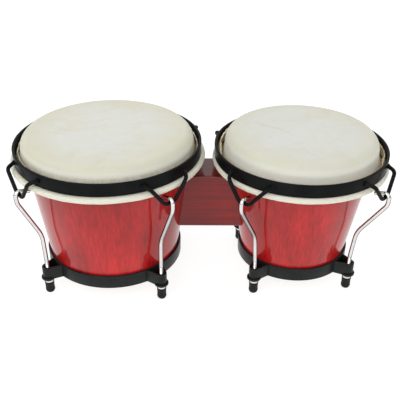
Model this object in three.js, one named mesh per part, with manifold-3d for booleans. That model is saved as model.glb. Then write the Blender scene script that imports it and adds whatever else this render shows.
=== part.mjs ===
// A pair of bongo drums: two open-bottomed wooden shells held together by a wooden block.
// Each drum has a rawhide head lapped round a flesh hoop, a flat steel rim that presses on the hoop,
// four wire bails welded to the rim, and four hooked tuning rods that pull the rim down. Each rod runs
// through a lug of the bottom ring into a capped nut, and the drums stand on the eight rubber caps.
// Millimetres. +Z is up, +X runs from the large drum to the small one, and -Y is the front.
// The origin is on the floor, under the middle of the whole object's box.

import * as THREE from "three";
import { mergeVertices } from "three/addons/utils/BufferGeometryUtils.js";
import Module from "manifold-3d";

const wasm = await Module();
wasm.setup();

// ---- Driving dimensions ----

const DRUM_SPACING = 227.9; // between the two drums' axes
const LARGE = {
  name: "large",
  side: -1, // which way along X the drum lies
  headRadius: 101, // over the skin, at the bearing edge
  headTop: 189.1,
  rimRadius: 110, // outside of the rim
  rimTop: 177,
  hoopRadius: 110.8, // middle of the flesh hoop's wire
  footRadius: 84.3, // outside of the bottom ring
  barReach: 7.5, // from the rim's outside to the middle of a bail's bottom bar
  barDrop: 33.5, // from the rim's top down to it
  elbowReach: 1, // how far the rods' elbows stand out from the lugs' axes
};
const SMALL = {
  name: "small",
  side: 1,
  headRadius: 90.2,
  headTop: 187.8,
  rimRadius: 102.3,
  rimTop: 172,
  hoopRadius: 100.9,
  footRadius: 69.1,
  barReach: 9.7,
  barDrop: 31.5,
  elbowReach: 3.5,
};

const GAP = 0.3; // left between pieces that touch
const SKIN = 1.2; // thickness of the rawhide
const CROWN = { reach: 12, fall: 14 }; // the head turns down in a quarter of an ellipse, this wide and high
const CROWN_STEPS = 4;

const WALL = 9; // shell wall
const SHELL_BOTTOM = 22;
const EDGE_DROP = 3; // how far the shell's crest falls to the inside

const RIM_HEIGHT = 15;
const RIM_THICKNESS = 3;
const HOOP_WIRE = 4.2; // flesh hoop, diameter

const RING_BOTTOM = 21;
const RING_TOP = 38;
const RING_THICKNESS = 2.5;
const LUG_REACH = 13.3; // from the ring's outside to the rod's axis
const LUG_NOSE = 6.6; // radius of the strip's round end
const LUG_FOOT = 11; // half of the lug's width where it leaves the ring
const LUG_STRIP = 2.5;
const LUG_FLOOR = 2.5;
const LUG_FLOOR_RADIUS = 8.6; // the floor is a round plate that stands out under the strip

const ROD = 5; // diameter
const ROD_BORE = 6; // holes that the rods run through
const ROD_END = 9; // height of the rod's lower end
const ROD_LEAN_DROP = 8; // from the bail's bar down to where the rod starts to lean in
const ELBOW_HEIGHT = 83;
const ROD_UPRIGHT_BELOW = 48; // the rod is plumb from here down
const HOOK_TURN = 105; // degrees that the hook turns, from straight up to over the bar
const HOOK_TAIL = 13; // from the hook's top corner to its tip
const ROD_BEND = 8; // length of each side of a rounded corner
const BAIL_WIRE = 4.5;
const BAIL_HALF_WIDTH = 26.5; // at the welds
const BAR_HALF_LENGTH = 6.5;
const WELD_DROP = 7.5; // from the rim's top to the welded wire ends
const BAIL_SHOULDER = { out: 8, in: 2.5, down: 2 }; // from a weld to the corner next to it
const BAIL_BEND = 4;

const NUT_ACROSS_FLATS = 8;
const NUT_BOTTOM = 4.6;
const NUT_TOP = 19.2;
const FLANGE_RADIUS = 5.9; // round flange at the nut's top
const FLANGE_HEIGHT = 2.8;
const WASHER_RADIUS = 5.6;
const WASHER_THICKNESS = 1.2;
const CAP_RADIUS = 5.7;
const CAP_TOP = 15.5;
const CAP_FLAT = 2.6; // radius of the flat that the drum stands on

const BLOCK_DEPTH = 49;
const BLOCK_BOTTOM = 70.7;
const BLOCK_TOP = 140;
const BOLT_HEIGHTS = { lower: 90, upper: 122 };
const BOLT = 6; // diameter
const BOLT_HEAD = { acrossFlats: 10, height: 4 };
const BOLT_IN_BLOCK = 16;
const PLATE_THICKNESS = 2.5;
const PLATE_HALF_WIDTH = 14;
const PLATE_MARGIN = 12; // from a bolt's axis to the plate's end

// The lugs sit at these bearings, counted from straight outwards towards the front.
const LUG_TURN = 5; // the whole pattern is turned a little, so the front inner lug comes forward
const LUG_BEARINGS = {
  front_outer: 45 - LUG_TURN,
  front_inner: 135 - LUG_TURN,
  back_inner: 225 - LUG_TURN,
  back_outer: 315 - LUG_TURN,
};

const RING_SEGMENTS = 36;
const SMALL_SEGMENTS = 10;
const WIRE_CURVE_SEGMENTS = 3; // a wire's section has twice as many sides

// The box's middle is at x = 0, and the flesh hoops reach furthest out.
const lapRadius = HOOP_WIRE / 2 + GAP + SKIN; // outside of the skin round the hoop's wire
const reach = (drum) => drum.hoopRadius + lapRadius;
LARGE.x = -(DRUM_SPACING + reach(SMALL) - reach(LARGE)) / 2;
SMALL.x = LARGE.x + DRUM_SPACING;

// ---- Materials ----

const finish = (color, roughness, metalness) => () =>
  new THREE.MeshStandardMaterial({ color, roughness, metalness });
const redWood = finish(0xa5302d, 0.18, 0);
const rawhide = finish(0xe6e2d2, 0.6, 0);
const blackSteel = finish(0x1e2022, 0.4, 0.2);
const chrome = finish(0xdadad8, 0.12, 1);
const plainSteel = finish(0xb4b7ba, 0.4, 1);
const blackRubber = finish(0x191a1a, 0.75, 0);

// ---- Geometry helpers ----

const radians = THREE.MathUtils.degToRad;

// A solid of revolution about Z from [radius, height] points, counter-clockwise with the radius to
// the right. A section that starts off the axis closes on itself.
function turned(points, segments = RING_SEGMENTS) {
  const outline = points.map(([radius, height]) => new THREE.Vector2(radius, height));
  if (outline[0].x > 0) outline.push(outline[0].clone());
  return new THREE.LatheGeometry(outline, segments).rotateX(Math.PI / 2);
}

// Points on a circular arc, angles in degrees.
function arc(centreRadius, centreHeight, radius, from, to, steps) {
  return Array.from({ length: steps + 1 }, (_, i) => {
    const angle = radians(from + ((to - from) * i) / steps);
    return [centreRadius + radius * Math.cos(angle), centreHeight + radius * Math.sin(angle)];
  });
}

// Points round the head's crown, moved inwards by a depth: between two of its steps, counted up from
// the bearing edge.
function crown(drum, depth, from, to) {
  const centre = drum.headRadius - CROWN.reach;
  return Array.from({ length: Math.abs(to - from) + 1 }, (_, i) => {
    const angle = radians((90 * (from + Math.sign(to - from) * i)) / CROWN_STEPS);
    const radius = centre + (CROWN.reach - depth) * Math.cos(angle);
    return [radius, bearingEdge(drum) + (CROWN.fall - depth) * Math.sin(angle)];
  });
}

// The closed outline of a strip of even thickness that follows a line.
function strip(line, thickness) {
  const sides = line.map(([r, z], i) => {
    const [r0, z0] = line[Math.max(i - 1, 0)];
    const [r1, z1] = line[Math.min(i + 1, line.length - 1)];
    const length = Math.hypot(r1 - r0, z1 - z0);
    const across = [(-(z1 - z0) / length) * (thickness / 2), ((r1 - r0) / length) * (thickness / 2)];
    return { left: [r + across[0], z + across[1]], right: [r - across[0], z - across[1]] };
  });
  return [...sides.map((side) => side.right), ...sides.map((side) => side.left).reverse()];
}

function prism(outline, bottom, top) {
  const shape = new THREE.Shape(outline.map(([x, y]) => new THREE.Vector2(x, y)));
  const solid = new THREE.ExtrudeGeometry(shape, { depth: top - bottom, bevelEnabled: false });
  return solid.translate(0, 0, bottom);
}

function cylinder(radius, bottom, top, sides) {
  return prism(arc(0, 0, radius, 0, 360 - 360 / sides, sides - 1), bottom, top);
}

const hexagon = (acrossFlats, bottom, top) => cylinder(acrossFlats / Math.sqrt(3), bottom, top, 6);

function toSolid(geometry) {
  const bare = geometry.clone();
  bare.deleteAttribute("normal");
  bare.deleteAttribute("uv");
  const merged = mergeVertices(bare, 1e-4);
  const mesh = new wasm.Mesh({
    numProp: 3,
    vertProperties: Float32Array.from(merged.attributes.position.array),
    triVerts: Uint32Array.from(merged.index.array),
  });
  return new wasm.Manifold(mesh);
}

function toGeometry(solid) {
  const mesh = solid.getMesh();
  const geometry = new THREE.BufferGeometry();
  geometry.setAttribute("position", new THREE.BufferAttribute(mesh.vertProperties, 3));
  geometry.setIndex(new THREE.BufferAttribute(mesh.triVerts, 1));
  geometry.computeVertexNormals();
  return geometry;
}

const cut = (geometry, ...tools) =>
  toGeometry(tools.reduce((solid, tool) => solid.subtract(toSolid(tool)), toSolid(geometry)));

// A path through given stations, for sweeping a wire with one step per station.
class StationPath extends THREE.Curve {
  constructor(stations) {
    super();
    this.stations = stations;
  }
  getSpacedPoints() {
    return this.stations;
  }
  getTangentAt(u, target = new THREE.Vector3()) {
    const last = this.stations.length - 1;
    const i = Math.round(u * last);
    const here = this.stations[i];
    const before = this.stations[Math.max(i - 1, 0)];
    const after = this.stations[Math.min(i + 1, last)];
    const arriving = here.clone().sub(before).normalize();
    return target.copy(after).sub(here).normalize().add(arriving).normalize();
  }
}

// A round wire along the points, with its corners rounded.
function wire(points, diameter, bend) {
  const path = new THREE.CurvePath();
  let from = points[0];
  for (let i = 1; i < points.length - 1; i++) {
    const into = points[i].clone().sub(points[i - 1]);
    const away = points[i + 1].clone().sub(points[i]);
    const reachBack = Math.min(bend, into.length() * 0.45, away.length() * 0.45);
    const enter = points[i].clone().addScaledVector(into.normalize(), -reachBack);
    const leave = points[i].clone().addScaledVector(away.normalize(), reachBack);
    path.add(new THREE.LineCurve3(from, enter));
    path.add(new THREE.QuadraticBezierCurve3(enter, points[i], leave));
    from = leave;
  }
  path.add(new THREE.LineCurve3(from, points[points.length - 1]));
  return swept(path.getPoints(3), diameter);
}

function swept(stations, diameter) {
  const section = new THREE.Shape().absarc(0, 0, diameter / 2, 0, 2 * Math.PI);
  return new THREE.ExtrudeGeometry(section, {
    extrudePath: new StationPath(stations),
    steps: stations.length - 1,
    curveSegments: WIRE_CURVE_SEGMENTS,
  });
}

// ---- The shell and what closes it ----

const bearingEdge = (drum) => drum.headTop - CROWN.fall;

// Outside of the shell: straight inside the bottom ring, then widening evenly up to the head.
function shellRadius(drum, height) {
  const bottom = drum.footRadius - RING_THICKNESS - GAP;
  const top = drum.headRadius - SKIN - GAP;
  const rise = (height - RING_TOP) / (bearingEdge(drum) - RING_TOP);
  return bottom + (top - bottom) * Math.max(rise, 0);
}

// The shell's outside from its bottom to the bearing edge, moved outwards by a clearance.
const shellOutside = (drum, clearance = 0) =>
  [SHELL_BOTTOM, RING_TOP, bearingEdge(drum)].map((z) => [shellRadius(drum, z) + clearance, z]);

// The shell's top follows the head's crown to a crest, and falls from there to the inside.
function shell(drum) {
  const edge = bearingEdge(drum);
  const rounded = crown(drum, SKIN + GAP, 1, CROWN_STEPS - 1);
  const crest = rounded[rounded.length - 1][1];
  const inside = [crest - EDGE_DROP, edge, RING_TOP, SHELL_BOTTOM];
  const outline = [
    ...shellOutside(drum),
    ...rounded,
    ...inside.map((z) => [shellRadius(drum, Math.min(z, edge)) - WALL, z]),
  ];
  const bores = Object.values(BOLT_HEIGHTS).map((z) => boltBore(drum, z));
  return cut(turned(outline), ...bores);
}

function headSkin(drum) {
  return turned([
    [0, drum.headTop - SKIN],
    ...crown(drum, SKIN, CROWN_STEPS, 0),
    ...crown(drum, 0, 0, CROWN_STEPS),
    [0, drum.headTop],
  ]);
}

const hoopHeight = (drum) => drum.rimTop - RIM_HEIGHT - GAP - lapRadius;

// The skin below the head's edge: down to the flesh hoop, round it from below, and back up inside
// the rim, where it was trimmed.
function skinCollar(drum) {
  const middle = lapRadius - SKIN / 2;
  const centre = drum.hoopRadius;
  const height = hoopHeight(drum);
  const start = drum.headRadius - SKIN / 2;
  const top = bearingEdge(drum) - GAP;
  const drop = top - height;
  const spread = centre - drum.headRadius;
  const tail = drum.rimRadius - RIM_THICKNESS - 2 * GAP - SKIN / 2;
  const rimBottom = drum.rimTop - RIM_HEIGHT;
  return turned(
    strip(
      [
        [start, top],
        [start + 0.1 * spread, height + 0.55 * drop],
        [start + 0.25 * spread, height + 0.2 * drop],
        ...arc(centre, height, middle, 205, 455, 5),
        [tail + 1.1, height + middle],
        [tail + 0.1, height + middle + 0.75],
        [tail, rimBottom + 2],
        [tail - 0.2, rimBottom + 9],
      ],
      SKIN,
    ),
  );
}

const fleshHoop = (drum) =>
  turned(arc(drum.hoopRadius, hoopHeight(drum), HOOP_WIRE / 2, 0, 300, 5));

function rim(drum) {
  const inside = drum.rimRadius - RIM_THICKNESS;
  const bottom = drum.rimTop - RIM_HEIGHT;
  const section = [
    [inside, bottom],
    [drum.rimRadius, bottom],
    [drum.rimRadius, drum.rimTop],
    [inside, drum.rimTop],
  ];
  return turned(section);
}

// ---- The tuning hardware, made lying outwards along +X and turned to its bearing ----

const rodRadius = (drum) => drum.footRadius + LUG_REACH;
const barRadius = (drum) => drum.rimRadius + drum.barReach;
const barHeight = (drum) => drum.rimTop - drum.barDrop;

// The bail is welded to the rim's face at both ends, leans outwards, and narrows to the bar.
function bail(drum) {
  const clear = drum.rimRadius + GAP + BAIL_WIRE / 2;
  const weldX = Math.sqrt(clear ** 2 - BAIL_HALF_WIDTH ** 2);
  const weldHeight = drum.rimTop - WELD_DROP;
  const shoulder = BAIL_SHOULDER;
  const half = [
    [weldX, BAIL_HALF_WIDTH, weldHeight],
    [weldX + shoulder.out, BAIL_HALF_WIDTH - shoulder.in, weldHeight - shoulder.down],
    [barRadius(drum), BAR_HALF_LENGTH, barHeight(drum)],
  ];
  const points = [...half, ...half.toReversed().map(([x, y, z]) => [x, -y, z])];
  return wire(points.map((point) => new THREE.Vector3(...point)), BAIL_WIRE, BAIL_BEND);
}

// The rod's side view, in [radius, height]: hooked over the bail's bar from outside, leaning in to an
// elbow, and dropping through the lug. The hook turns in two rounded corners that stand clear of the bar.
function tuningRod(drum) {
  const bar = [barRadius(drum), barHeight(drum)];
  const axis = rodRadius(drum);
  const hook = (BAIL_WIRE + ROD) / 2 + GAP;
  const halfTurn = HOOK_TURN / 4;
  const corners = arc(...bar, hook / Math.cos(radians(halfTurn)), 3 * halfTurn, halfTurn, 1);
  const droop = radians(HOOK_TURN - 90);
  const points = [
    [corners[0][0] - HOOK_TAIL * Math.cos(droop), corners[0][1] - HOOK_TAIL * Math.sin(droop)],
    ...corners,
    [bar[0] + hook, bar[1] - ROD_LEAN_DROP],
    [axis + drum.elbowReach, ELBOW_HEIGHT],
    [axis, ROD_UPRIGHT_BELOW],
    [axis, ROD_END],
  ];
  return wire(points.map(([x, z]) => new THREE.Vector3(x, 0, z)), ROD, ROD_BEND);
}

function washer(drum) {
  const top = RING_BOTTOM - GAP;
  const bottom = top - WASHER_THICKNESS;
  const section = [
    [ROD_BORE / 2, bottom],
    [WASHER_RADIUS, bottom],
    [WASHER_RADIUS, top],
    [ROD_BORE / 2, top],
  ];
  return turned(section, SMALL_SEGMENTS).translate(rodRadius(drum), 0, 0);
}

function tuningNut(drum) {
  const flange = cylinder(FLANGE_RADIUS, NUT_TOP - FLANGE_HEIGHT, NUT_TOP, 2 * SMALL_SEGMENTS);
  const body = toSolid(hexagon(NUT_ACROSS_FLATS, NUT_BOTTOM, NUT_TOP)).add(toSolid(flange));
  const bore = cylinder(ROD_BORE / 2, NUT_BOTTOM - 1, NUT_TOP + 1, 8);
  return toGeometry(body.subtract(toSolid(bore))).translate(rodRadius(drum), 0, 0);
}

// A round-bottomed rubber cap with a hexagonal pocket for the nut.
function rubberCap(drum) {
  const body = turned(
    [[0, 0], [CAP_FLAT, 0], ...arc(CAP_RADIUS - 3.1, 3.6, 3.1, -60, 0, 2), [CAP_RADIUS, CAP_TOP], [0, CAP_TOP]],
    2 * SMALL_SEGMENTS,
  );
  const pocket = hexagon(NUT_ACROSS_FLATS + 2 * GAP, NUT_BOTTOM - GAP, CAP_TOP + 1);
  return cut(body, pocket).translate(rodRadius(drum), 0, 0);
}

// ---- The bottom ring with its four lugs ----

// Outline of a lug in plan, pulled in all round by an inset.
function lugOutline(drum, inset) {
  const foot = [drum.footRadius - RING_THICKNESS / 2, LUG_FOOT];
  const axis = rodRadius(drum);
  const toAxis = Math.atan2(-foot[1], axis - foot[0]);
  const spread = Math.asin(LUG_NOSE / Math.hypot(axis - foot[0], foot[1]));
  const edge = toAxis + spread; // direction of the straight side
  const touch = THREE.MathUtils.radToDeg(edge) + 90;
  const footY = LUG_FOOT - inset / Math.cos(edge);
  return [
    [foot[0], -footY],
    ...arc(axis, 0, LUG_NOSE - inset, -touch, touch, 5),
    [foot[0], footY],
  ];
}

function lug(drum, bearing) {
  const body = toSolid(prism(lugOutline(drum, 0), RING_BOTTOM, RING_TOP));
  const pocket = prism(lugOutline(drum, LUG_STRIP), RING_BOTTOM + LUG_FLOOR, RING_TOP + 1);
  const floor = cylinder(LUG_FLOOR_RADIUS, RING_BOTTOM, RING_BOTTOM + LUG_FLOOR, 20);
  const bore = cylinder(ROD_BORE / 2, RING_BOTTOM - 1, RING_TOP, 8);
  const axis = rodRadius(drum);
  return body
    .subtract(toSolid(pocket))
    .add(toSolid(floor.translate(axis, 0, 0)))
    .subtract(toSolid(bore.translate(axis, 0, 0)))
    .rotate([0, 0, bearing]);
}

function bottomRing(drum) {
  const inside = drum.footRadius - RING_THICKNESS;
  const section = [
    [inside, RING_BOTTOM],
    [drum.footRadius, RING_BOTTOM],
    [drum.footRadius, RING_TOP],
    [inside, RING_TOP],
  ];
  const band = toSolid(turned(section));
  const bearings = Object.values(LUG_BEARINGS).map((bearing) => bearingAngle(drum, bearing));
  return toGeometry(bearings.reduce((ring, angle) => ring.add(lug(drum, angle)), band));
}

// Degrees from +X, counter-clockwise from above.
const bearingAngle = (drum, bearing) => (drum.side > 0 ? -bearing : 180 + bearing);

// ---- The block between the shells, and its bolts ----

// A rod along X through the shell's inner side, for bolts and their holes, in the drum's own frame.
function alongX(drum, diameter, from, to, height, sides = 8) {
  const low = Math.min(from, to);
  const rod = cylinder(diameter / 2, low, low + Math.abs(to - from), sides);
  return rod.rotateY(Math.PI / 2).translate(0, 0, height);
}

const inward = (drum) => -drum.side; // sign of X towards the other drum

const boltBore = (drum, height) =>
  alongX(drum, BOLT + 2 * GAP, 0, inward(drum) * (drum.headRadius + 10), height);

function shellPlug(drum) {
  const outline = shellOutside(drum, GAP);
  return turned([[0, SHELL_BOTTOM], ...outline, [0, bearingEdge(drum)]]).translate(drum.x, 0, 0);
}

function centreBlock() {
  const box = new THREE.BoxGeometry(DRUM_SPACING, BLOCK_DEPTH, BLOCK_TOP - BLOCK_BOTTOM);
  box.translate((LARGE.x + SMALL.x) / 2, 0, (BLOCK_TOP + BLOCK_BOTTOM) / 2);
  const bores = [LARGE, SMALL].flatMap((drum) =>
    Object.values(BOLT_HEIGHTS).map((z) => {
      const end = inward(drum) * (shellRadius(drum, z) + BOLT_IN_BLOCK + 2);
      return alongX(drum, BOLT + 2 * GAP, 0, end, z).translate(drum.x, 0, 0);
    }),
  );
  return cut(box, shellPlug(LARGE), shellPlug(SMALL), ...bores);
}

// A curved steel plate inside the shell, under the bolts' heads.
function boltPlate(drum) {
  const low = BOLT_HEIGHTS.lower - PLATE_MARGIN;
  const high = BOLT_HEIGHTS.upper + PLATE_MARGIN;
  const inside = (z) => shellRadius(drum, z) - WALL - GAP;
  const section = [
    [inside(low) - PLATE_THICKNESS, low],
    [inside(low), low],
    [inside(high), high],
    [inside(high) - PLATE_THICKNESS, high],
  ];
  const width = new THREE.BoxGeometry(2 * drum.headRadius, 2 * PLATE_HALF_WIDTH, 2 * high);
  width.translate(inward(drum) * drum.headRadius, 0, 0);
  const bores = Object.values(BOLT_HEIGHTS).map((z) => boltBore(drum, z));
  return cut(toGeometry(toSolid(turned(section)).intersect(toSolid(width))), ...bores);
}

// A hexagon bolt whose head stands just clear of the sloping plate.
function blockBolt(drum, height) {
  const headHalf = BOLT_HEAD.acrossFlats / Math.sqrt(3);
  const face = shellRadius(drum, height - headHalf) - WALL - PLATE_THICKNESS - 3 * GAP;
  const end = shellRadius(drum, height) + BOLT_IN_BLOCK;
  const side = inward(drum);
  const head = alongX(drum, 2 * headHalf, side * (face - BOLT_HEAD.height), side * face, height, 6);
  const shank = alongX(drum, BOLT, side * (face - 1), side * end, height);
  return toGeometry(toSolid(head).add(toSolid(shank)));
}

// ---- Assembly ----

const bongos = new THREE.Group();

function place(parent, name, geometry, material, bearing = 0) {
  const mesh = new THREE.Mesh(geometry, material());
  mesh.name = name;
  mesh.rotation.z = radians(bearing);
  parent.add(mesh);
}

for (const drum of [LARGE, SMALL]) {
  const assembly = new THREE.Group();
  assembly.position.x = drum.x;
  bongos.add(assembly);

  place(assembly, `${drum.name}_shell`, shell(drum), redWood);
  place(assembly, `${drum.name}_head_skin`, headSkin(drum), rawhide);
  place(assembly, `${drum.name}_skin_collar`, skinCollar(drum), rawhide);
  place(assembly, `${drum.name}_flesh_hoop`, fleshHoop(drum), plainSteel);
  place(assembly, `${drum.name}_rim`, rim(drum), blackSteel);
  place(assembly, `${drum.name}_bottom_ring`, bottomRing(drum), blackSteel);

  for (const [lugName, bearing] of Object.entries(LUG_BEARINGS)) {
    const angle = bearingAngle(drum, bearing);
    place(assembly, `${drum.name}_bail_${lugName}`, bail(drum), blackSteel, angle);
    place(assembly, `${drum.name}_tuning_rod_${lugName}`, tuningRod(drum), chrome, angle);
    place(assembly, `${drum.name}_washer_${lugName}`, washer(drum), chrome, angle);
    place(assembly, `${drum.name}_nut_${lugName}`, tuningNut(drum), chrome, angle);
    place(assembly, `${drum.name}_rubber_cap_${lugName}`, rubberCap(drum), blackRubber, angle);
  }

  place(assembly, `${drum.name}_bolt_plate`, boltPlate(drum), plainSteel);
  for (const [boltName, height] of Object.entries(BOLT_HEIGHTS)) {
    place(assembly, `${drum.name}_block_bolt_${boltName}`, blockBolt(drum, height), plainSteel);
  }
}

place(bongos, "centre_block", centreBlock(), redWood);

export default bongos;
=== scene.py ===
# The looks of a pair of bongo drums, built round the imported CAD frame.
# Metres, in the frame's own axes: +Z is up, +X runs from the large drum to the small one, and -Y is
# the front. A drum's pieces are made round the drum's own axis and then moved out to it.

import math

import bmesh
import bpy
from mathutils import Matrix, Vector, noise


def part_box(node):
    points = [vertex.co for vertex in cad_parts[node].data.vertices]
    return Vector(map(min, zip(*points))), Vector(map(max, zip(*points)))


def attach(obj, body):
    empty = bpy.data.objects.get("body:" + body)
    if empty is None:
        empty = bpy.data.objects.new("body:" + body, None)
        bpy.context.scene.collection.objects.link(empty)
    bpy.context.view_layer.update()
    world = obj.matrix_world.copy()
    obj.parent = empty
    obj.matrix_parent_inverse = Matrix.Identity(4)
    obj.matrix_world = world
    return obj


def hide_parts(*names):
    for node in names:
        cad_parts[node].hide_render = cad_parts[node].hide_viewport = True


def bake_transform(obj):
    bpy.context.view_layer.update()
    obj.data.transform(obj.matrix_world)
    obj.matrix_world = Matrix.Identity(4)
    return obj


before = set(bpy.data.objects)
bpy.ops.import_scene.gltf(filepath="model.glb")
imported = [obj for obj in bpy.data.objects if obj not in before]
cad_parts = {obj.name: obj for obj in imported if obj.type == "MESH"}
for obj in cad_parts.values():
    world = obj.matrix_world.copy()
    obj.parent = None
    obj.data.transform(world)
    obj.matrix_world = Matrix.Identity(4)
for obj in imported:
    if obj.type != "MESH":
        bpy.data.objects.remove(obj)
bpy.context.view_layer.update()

MM = 0.001
TURN = 2 * math.pi

# ---- Sizes that the frame's boxes don't give ----

DRUM_DETAILS = {
    "large": {"bar_reach": 7.5 * MM, "bar_drop": 33.5 * MM, "elbow_reach": 1 * MM},
    "small": {"bar_reach": 9.7 * MM, "bar_drop": 31.5 * MM, "elbow_reach": 3.5 * MM},
}
POSITIONS = ("front_outer", "front_inner", "back_inner", "back_outer")

GAP = 0.3 * MM
SKIN = 1.2 * MM
CROWN_REACH = 12 * MM  # how far in the head starts to turn down, in a quarter of an ellipse
WALL = 9 * MM
RIM_THICKNESS = 3 * MM
HOOP_WIRE = 4.2 * MM
LAP = HOOP_WIRE / 2 + GAP + SKIN / 2  # radius of the middle of the skin round the hoop's wire

RING_THICKNESS = 2.5 * MM
LUG_NOSE = 6.6 * MM
LUG_FOOT = 11 * MM
LUG_FLOOR = 2.5 * MM
LUG_FLOOR_RADIUS = 8.6 * MM
LUG_FLOOR_ROUNDING = 0.6 * MM

ROD = 5 * MM
ROD_DOME = 0.45  # height of its rounded ends, as a share of its radius
ROD_BORE = 6 * MM
ROD_END = 9 * MM
ELBOW_HEIGHT = 83 * MM
ROD_UPRIGHT_BELOW = 48 * MM
ROD_LEAN_DROP = 8 * MM
HOOK_TURN = math.radians(105)
HOOK_TAIL = 13 * MM
THREAD_TOP = 47 * MM
THREAD_PITCH = 0.8 * MM
THREAD_DEPTH = 0.3 * MM

BAIL_WIRE = 4.5 * MM
BAIL_HALF_WIDTH = 26.5 * MM
BAR_HALF_LENGTH = 6.5 * MM
WELD_DROP = 7.5 * MM
BAIL_SHOULDER = {"out": 8 * MM, "in": 2.5 * MM, "down": 2 * MM}

WASHER_RADIUS = 5.6 * MM
NUT_ACROSS_FLATS = 8 * MM
NUT_CHAMFER = 0.45 * MM
FLANGE_RADIUS = 5.9 * MM
FLANGE_HEIGHT = 2.8 * MM
CAP_RADIUS = 5.7 * MM
CAP_FLAT = 2.6 * MM  # radius of the flat that the drum stands on
CAP_DOME = 4.6 * MM  # height of the rounded end
CAP_LIP = 0.25 * MM
BOLT = 6 * MM
BOLT_HEAD_ACROSS_FLATS = 10 * MM
BOLT_HEAD_HEIGHT = 4 * MM
BOLT_SHANK = 14 * MM  # plain length under the head
BOLT_THREAD_PITCH = 1 * MM
BOLT_DEPTH_IN_BLOCK = 18 * MM
PLATE_THICKNESS = 2.5 * MM

SHELL_SEGMENTS = 160
HEAD_SEGMENTS = 300


def corners_of(node):
    return [vertex.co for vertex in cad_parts[node].data.vertices]


class Lug:
    """Where one tuning rod goes through the bottom ring, seen from its drum's axis."""

    def __init__(self, drum, position):
        low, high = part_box(f"{drum.name}_washer_{position}")
        centre = (low + high) / 2
        self.position = position
        self.radius = math.hypot(centre.x - drum.x, centre.y)
        self.bearing = math.atan2(centre.y, centre.x - drum.x)


class Drum:
    """One drum's sizes, read from the frame."""

    def __init__(self, name, side):
        self.name = name
        self.side = side
        self.rim_body = f"{name}_rim_assembly"
        low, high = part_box(f"{name}_rim")
        self.x = (low.x + high.x) / 2
        self.rim_radius = (high.y - low.y) / 2
        self.rim_bottom = low.z
        self.rim_top = high.z
        # The hide's cut edge stands up inside the rim, at this radius.
        self.tail_radius = self.rim_radius - RIM_THICKNESS - 2 * GAP - SKIN / 2
        low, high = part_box(f"{name}_head_skin")
        self.head_radius = (high.y - low.y) / 2
        self.bearing_edge = low.z
        self.head_top = high.z
        self.crown_start = self.head_radius - CROWN_REACH
        low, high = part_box(f"{name}_flesh_hoop")
        self.hoop_radius = (high.y - low.y) / 2 - HOOP_WIRE / 2
        self.hoop_height = (high.z + low.z) / 2
        low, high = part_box(f"{name}_bottom_ring")
        self.ring_bottom = low.z
        self.ring_top = high.z
        self.shell_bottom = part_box(f"{name}_shell")[0].z
        foot = [co for co in corners_of(f"{name}_shell") if co.z < self.shell_bottom + MM]
        self.shell_foot = max(math.hypot(co.x - self.x, co.y) for co in foot)
        self.ring_inside = self.shell_foot + GAP
        self.ring_outside = self.ring_inside + RING_THICKNESS
        details = DRUM_DETAILS[name]
        self.bar_radius = self.rim_radius + details["bar_reach"]
        self.bar_height = self.rim_top - details["bar_drop"]
        self.elbow_reach = details["elbow_reach"]
        self.lugs = [Lug(self, position) for position in POSITIONS]

    def shell_radius(self, height):
        top = self.head_radius - SKIN - GAP
        rise = (height - self.ring_top) / (self.bearing_edge - self.ring_top)
        return self.shell_foot + (top - self.shell_foot) * max(rise, 0)

    def crown(self, depth, start, end, steps):
        """(radius, height) round the head's turned-down edge, this deep in it, angles in degrees."""
        fall = self.head_top - self.bearing_edge - depth
        out = []
        for i in range(steps + 1):
            angle = math.radians(start + (end - start) * i / steps)
            radius = self.crown_start + (CROWN_REACH - depth) * math.cos(angle)
            out.append((radius, self.bearing_edge + fall * math.sin(angle)))
        return out


LARGE = Drum("large", -1)
SMALL = Drum("small", 1)
DRUMS = (LARGE, SMALL)

# ---- Camera, floor and light ----

CAMERA_PLACE = (-0.0073, -0.6682, 0.4941)
CAMERA_LENS = 56.24
CAMERA_SENSOR = 36
CAMERA_DOWN = 30.95  # degrees
CAMERA_RIGHT = 0.618
CAMERA_ROLL = 0.543


def make_camera():
    data = bpy.data.cameras.new("camera")
    data.sensor_width = CAMERA_SENSOR
    data.lens = CAMERA_LENS
    camera = bpy.data.objects.new("camera", data)
    bpy.context.scene.collection.objects.link(camera)
    turn = Matrix.Rotation(-math.radians(CAMERA_RIGHT), 4, "Z")
    tilt = Matrix.Rotation(math.pi / 2 - math.radians(CAMERA_DOWN), 4, "X")
    roll = Matrix.Rotation(math.radians(CAMERA_ROLL), 4, "Z")
    camera.matrix_world = Matrix.Translation(CAMERA_PLACE) @ (turn @ tilt) @ roll
    bpy.context.scene.camera = camera


def area_light(name, place, target, width, height, power):
    data = bpy.data.lights.new(name, "AREA")
    data.shape = "RECTANGLE"
    data.size = width
    data.size_y = height
    data.energy = power
    light = bpy.data.objects.new(name, data)
    bpy.context.scene.collection.objects.link(light)
    light.location = place
    light.rotation_euler = (Vector(target) - Vector(place)).to_track_quat("-Z", "Y").to_euler()


WORLD_TILT = 0.4  # how much what lies behind counts as overhead
WORLD_GREYS = ((-0.2, 0.5), (0.5, 0.93))  # (height, grey), low and high
FLOOR_HALF_SIZE = 8


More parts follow.
